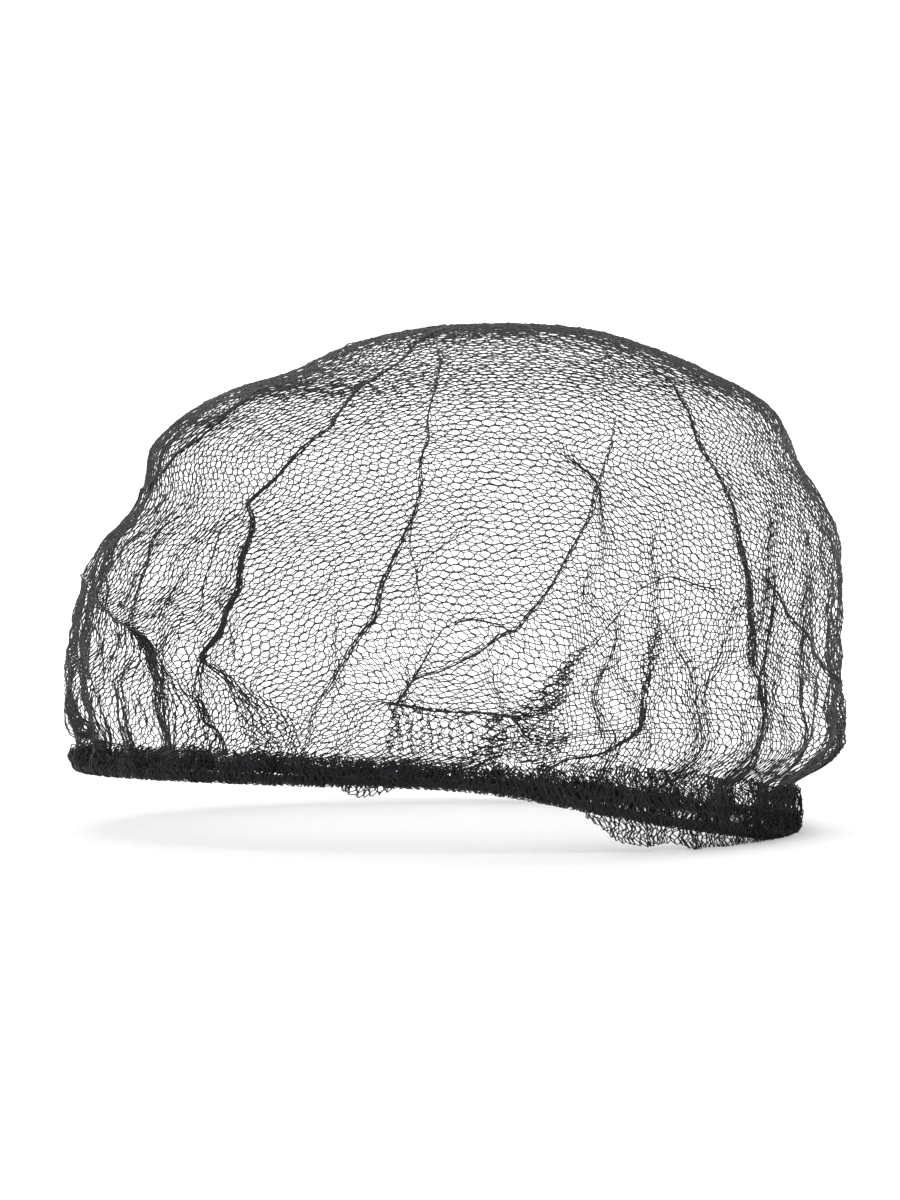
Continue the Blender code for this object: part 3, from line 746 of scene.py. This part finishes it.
def add_net(folds, material):
    """The crown: the flat honeycomb, cut to the disc, folded and carried to the dome."""
    pieces = []
    rows = np.arange(-int(CLOTH_RADIUS / ROW_PITCH) - 1, int(CLOTH_RADIUS / ROW_PITCH) + 2)
    for number, (low, high) in enumerate(zip(PANEL_THREADS[:-1], PANEL_THREADS[1:])):
        threads = np.arange(low, high)
        along, across, out = honeycomb(threads, rows, np.random.default_rng(SEED))
        middle = (threads + 0.5) * GAP_WIDTH / 2
        inside = along**2 + middle[:, None] ** 2 < (NET_END * CLOTH_RADIUS) ** 2
        inside &= inside.sum(1, keepdims=True) > 2
        run = np.broadcast_to(threads[:, None], along.shape)[inside]
        p, q, out = along[inside], across[inside], out[inside]
        # Slow waves in the knitting, under a millimetre
        p = p + 0.0008 * np.sin(2 * math.pi * q / 0.037 + 3 * np.sin(2 * math.pi * p / 0.09))
        q = q + 0.0006 * np.sin(2 * math.pi * p / 0.031 + 2 * np.sin(2 * math.pi * q / 0.07))
        x = p * math.cos(WARP_ANGLE) + q * math.sin(WARP_ANGLE)
        y = p * math.sin(WARP_ANGLE) - q * math.cos(WARP_ANGLE)
        cloth = np.minimum(np.hypot(x, y) / CLOTH_RADIUS, NET_END)
        turn, lift = folds.fold(np.arctan2(y, x), cloth)
        for fold in CROSS_FOLDS.values():
            turn, cloth, raised = cross_fold(fold, turn, cloth)
            lift = lift + raised
        lift = lift * (1 - 0.7 * ease(cloth, 0.97, 1.0)) + crumple(turn, cloth)
        points, away = on_dome(turn, cloth, lift + out)
        same = run[1:] == run[:-1]
        flat_length = np.hypot(np.diff(p), np.diff(q))[same].sum()
        corners, quads, caps, length = tubes(points, run, away, THREAD / 2)
        obj = new_piece(f"net_panel_{number + 1}", corners, quads, caps, length, shades(run, 3), material)
        long = 2 * np.sqrt(np.maximum(CLOTH_RADIUS**2 - middle**2, 0)).mean()
        pieces.append((obj, ((high - low) * GAP_WIDTH / 2, float(long)), stitched_area(flat_length)))
    return pieces


def strip_net(ring_start, ring_end, gather, rows, bunching, random):
    """Threads that stand round the hem from one turn in degrees to another, and are drawn together and
    apart along it by three slow waves. Gives their number, the way along each, its turns and how far
    its points stand out."""
    turns = np.radians(ring_end - ring_start)
    radius = float(ring_radius(np.array([1.0]))[0])
    count = int(turns * radius * gather / (GAP_WIDTH / 2))
    along, across, out = honeycomb(np.arange(count), np.arange(rows), random)
    share = across / (count * GAP_WIDTH / 2)
    turn = np.radians(ring_start) + turns * share
    a, b, c = random.uniform(0, 2 * math.pi, 3)
    bunch = (0.0022 * np.sin(turn * radius / 0.0052 * 2 * math.pi / 3.1 + a + 1.7 * np.sin(9 * turn))
             + 0.0012 * np.sin(turn * radius / 0.0023 * 2 * math.pi / 2.7 + b)
             + 0.0016 * np.sin(2 * math.pi * along / 0.009 + c + 11 * turn))
    return count, along, turn + bunching * bunch / radius, out


def add_hem(material, random):
    """The gathered hem: layers of net that go down inside, round the elastic and up outside.

    The first layer climbs as high as the hem is there, and the others less, more so where it is rolled.
    """
    pieces = []
    for half, layers in HEM_LAYERS.items():
        parts = []
        width = area = 0.0
        for number, round_elastic in enumerate(layers):
            count, along, turn, out = strip_net(0, 360, HEM_GATHER, HEM_NET_ROWS, HEM_BUNCHING, random)
            ragged = 0.12 * np.sin(2 * math.pi * turn * WALL_RADIUS / 0.013 + number)
            ragged = ragged + 0.10 * np.sin(23 * turn + 2)
            rolled = (hem_height(turn) - HEM_HEIGHT) / (ROLLED_HEIGHT - HEM_HEIGHT)
            step_down = 0.60 * number if half == "outer" else 0.65
            climb = 1.04 + ragged * (1 - 0.75 * rolled) - (0.62 + 0.38 * rolled) * step_down
            reach = hem_height(turn) * climb + CLEARANCE + ELASTIC_THICKNESS / 2
            quarter = math.pi / 2 * round_elastic
            half_way = quarter + reach
            width += 2 * float(half_way.mean())
            keep = np.cumprod(along <= 2 * half_way, axis=1).astype(bool)
            climbed = half_way - np.abs(along - half_way)
            side = np.where(along < half_way, 1.0, -1.0)
            angle = np.clip(climbed / round_elastic, 0, math.pi / 2)
            above = np.maximum(climbed - quarter, 0)
            up = above - round_elastic * np.cos(angle) - CLEARANCE - ELASTIC_THICKNESS / 2
            flat_side = round_elastic * np.sin(angle) * (1 - 0.55 * ease(above / reach, 0.1, 1.0))
            wave = 0.0006 * np.sin(2 * math.pi * turn * WALL_RADIUS / 0.0071 + 5 * up / 0.01 + 2 * number)
            wave = wave + PLEAT_DEPTH * pleats(turn) * ease(above / reach, 0.0, 0.5)
            run = np.broadcast_to(np.arange(count)[:, None], along.shape)[keep]
            points, away = hem_line(turn[keep], (side * flat_side + wave + out)[keep], -up[keep])
            corners, quads, caps, length = tubes(points, run, away, THREAD / 2)
            parts.append((corners, quads, caps, length, shades(run, 5)))
            same = run[1:] == run[:-1]
            area += stitched_area(np.linalg.norm(np.diff(points, axis=0), axis=-1)[same].sum())
        starts = np.cumsum([0] + [len(part[0]) for part in parts[:-1]])
        moved = [(corners, quads + start, caps + start, length, shade)
                 for start, (corners, quads, caps, length, shade) in zip(starts, parts)]
        obj = new_piece(f"hem_gathers_{half}", *map(np.concatenate, zip(*moved)), material)
        pieces.append((obj, width, area))
    return pieces


def add_elastic(material):
    """The covered elastic: a closed cord round the hem, with its cover's ridges climbing round it."""
    count, sides = ELASTIC_RINGS, ELASTIC_SIDES
    turn = 2 * math.pi * np.arange(count) / count
    centre, level = hem_line(turn, np.zeros(count), np.full(count, CLEARANCE + ELASTIC_THICKNESS / 2))
    along = unit(np.roll(centre, -1, axis=0) - np.roll(centre, 1, axis=0))
    side = unit(np.cross(along, np.array([0.0, 0.0, 1.0])))
    up = np.cross(along, side)
    length = turn * float(ring_radius(np.array([1.0]))[0])
    angle = 2 * math.pi * np.arange(sides) / sides
    winding = np.cos(COVER_RIDGES * angle[None] - 2 * math.pi * length[:, None] / COVER_PITCH)
    radius = ELASTIC_THICKNESS / 2 * (1 - COVER_DEPTH + COVER_DEPTH * winding)
    ring = side[:, None] * np.cos(angle)[:, None] + up[:, None] * np.sin(angle)[:, None]
    corners = (centre[:, None] + ring * radius[..., None]).reshape(-1, 3)
    i, j = np.meshgrid(np.arange(count), np.arange(sides), indexing="ij")
    here, ahead = i * sides, (i + 1) % count * sides
    k = (j + 1) % sides
    quads = np.stack([here + j, here + k, ahead + k, ahead + j], axis=-1).reshape(-1, 4)
    caps = np.zeros((0, 4), int)
    return new_piece("elastic_cord", corners, quads, caps, np.repeat(length, sides),
                     np.full(count * sides, 0.5), material)


def add_ruffle(name, ruffle, material, random):
    """A ruffle: an open net, doubled at its edge, that hangs from the elastic in waves."""
    count, along, turn, out = strip_net(
        ruffle.start, ruffle.end, RUFFLE_GATHER, RUFFLE_NET_ROWS, RUFFLE_BUNCHING, random)
    along = along * RUFFLE_DRAWN
    start, end = math.radians(ruffle.start), math.radians(ruffle.end)
    share = np.clip((turn - start) / (end - start), 0, 1)
    depth = ruffle.drop * smooth(share, np.linspace(0, 1, len(ruffle.edge)), ruffle.edge)
    keep = np.cumprod(along <= 2 * depth, axis=1).astype(bool)
    down = depth - np.abs(along - depth)
    wave = RUFFLE_WAVE * down / ruffle.drop * np.sin(2 * math.pi * ruffle.waves * share)
    behind = RUFFLE_HALF_GAP * np.cos(math.pi * np.clip(along / depth, 0, 2) / 2)
    run = np.broadcast_to(np.arange(count)[:, None], along.shape)[keep]
    drop = 2 * CLEARANCE + ELASTIC_THICKNESS + down - RUFFLE_OVERLAP
    turn = start + (end - start) * share
    points, away = hem_line(turn[keep], (wave + behind + out)[keep], drop[keep])
    corners, quads, caps, length = tubes(points, run, away, THREAD / 2)
    name = name.replace("hem_", "net_")
    return new_piece(name, corners, quads, caps, length, shades(run, 7), material)


def add_camera():
    data = bpy.data.cameras.new("camera")
    data.lens = LENS * 1000
    data.sensor_width = SENSOR * 1000
    data.dof.use_dof = False
    camera = bpy.data.objects.new("camera", data)
    bpy.context.scene.collection.objects.link(camera)
    away = np.array([0, -math.cos(CAMERA_ELEVATION), math.sin(CAMERA_ELEVATION)])
    camera.location = CAMERA_TARGET + CAMERA_DISTANCE * away
    camera.rotation_euler = Vector(-away).to_track_quat("-Z", "Y").to_euler()
    bpy.context.scene.camera = camera


def add_stage(floor):
    """A sheet of white paper: flat below the net, and curved up behind it."""
    profile = [(-2.5, floor), (0.9, floor), (1.3, floor + 0.08), (1.6, floor + 0.35), (1.7, floor + 2.6)]
    across = np.linspace(-2.6, 2.6, 9)
    y = np.array([p[0] for p in profile])
    z = np.array([p[1] for p in profile])
    points = np.stack(np.meshgrid(across, np.arange(len(y)), indexing="ij"), axis=-1)
    corners = np.stack([points[..., 0], y[points[..., 1].astype(int)], z[points[..., 1].astype(int)]], -1)
    i, j = np.meshgrid(np.arange(len(across) - 1), np.arange(len(y) - 1), indexing="ij")
    here = i * len(y) + j
    quads = np.stack([here, here + len(y), here + len(y) + 1, here + 1], axis=-1).reshape(-1, 4)
    mesh = bpy.data.meshes.new("paper")
    mesh.from_pydata(corners.reshape(-1, 3).tolist(), [], quads.tolist())
    mesh.shade_smooth()
    mesh.materials.append(backdrop_paper())
    obj = bpy.data.objects.new("paper", mesh)
    bpy.context.scene.collection.objects.link(obj)
    curve = obj.modifiers.new("Curve", "SUBSURF")
    curve.levels = curve.render_levels = 3


def add_lights():
    """Plain soft light: a bright white room, with one large soft lamp above and one at each side."""
    world = bpy.data.worlds.new("studio")
    bpy.context.scene.world = world
    world.use_nodes = True
    background = world.node_tree.nodes["Background"]
    background.inputs["Color"].default_value = (1, 1, 1, 1)
    background.inputs["Strength"].default_value = 0.8
    Lamp = namedtuple("Lamp", "name place size watts")
    for lamp in (
        Lamp("top", (0.0, -0.2, 1.3), 1.6, 9.0),
        Lamp("left", (-1.3, -0.9, 0.7), 1.2, 6.0),
        Lamp("right", (1.3, -0.9, 0.7), 1.2, 6.0),
        Lamp("back", (0.0, 0.9, 1.2), 1.6, 12.0),
    ):
        data = bpy.data.lights.new(lamp.name, "AREA")
        data.size = lamp.size
        data.energy = lamp.watts
        obj = bpy.data.objects.new(lamp.name, data)
        bpy.context.scene.collection.objects.link(obj)
        obj.location = lamp.place
        aim = Vector((0, 0, 0.07)) - obj.location
        if lamp.name == "back":
            aim = Vector((0, 1.7, 0.4)) - obj.location
        obj.rotation_euler = aim.to_track_quat("-Z", "Y").to_euler()
    bpy.context.scene.view_settings.view_transform = "Standard"


def main():
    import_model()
    cad_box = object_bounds()
    add_camera()

    # Twisted nylon: near black with a cool tint, and a soft gleam along each thread
    net_yarn = yarn("twisted nylon filament", "#0b0d11", "#262b35", 0.45, NET_TWIST, 0.15)
    # The same net in many layers, with painted shade: its colour is blacker for the shade the layers cast
    # on each other, and it is duller
    hem_yarn_painted_shade = yarn("gathered nylon net", "#07080b", "#1c2028", 0.55, NET_TWIST, 0.10)
    # Yarn wound round rubber: the blackest, and matt
    cover = yarn("covered elastic", "#050608", "#14161b", 0.65, COVER_TWIST, 0.20)

    random = np.random.default_rng(SEED)
    folds = Folds(random)
    for obj, flat, area in add_net(folds, net_yarn):
        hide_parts("crown_net")
        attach(obj, "root")

    ruffles = []
    for name, ruffle in RUFFLES.items():
        obj = add_ruffle(name, ruffle, hem_yarn_painted_shade, random)
        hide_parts(name)
        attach(obj, "root")
        ruffles.append(obj)

    around = HEM_GATHER * 2 * math.pi * float(ring_radius(np.array([1.0]))[0])
    for (obj, width, area), borders in zip(add_hem(hem_yarn_painted_shade, random), (ruffles, [])):
        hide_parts("gathered_hem")
        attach(obj, "root")

    elastic = add_elastic(cover)
    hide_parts("elastic_band")
    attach(elastic, "root")

    add_stage(float(cad_box[0][2]) - 0.0006)
    add_lights()


main()
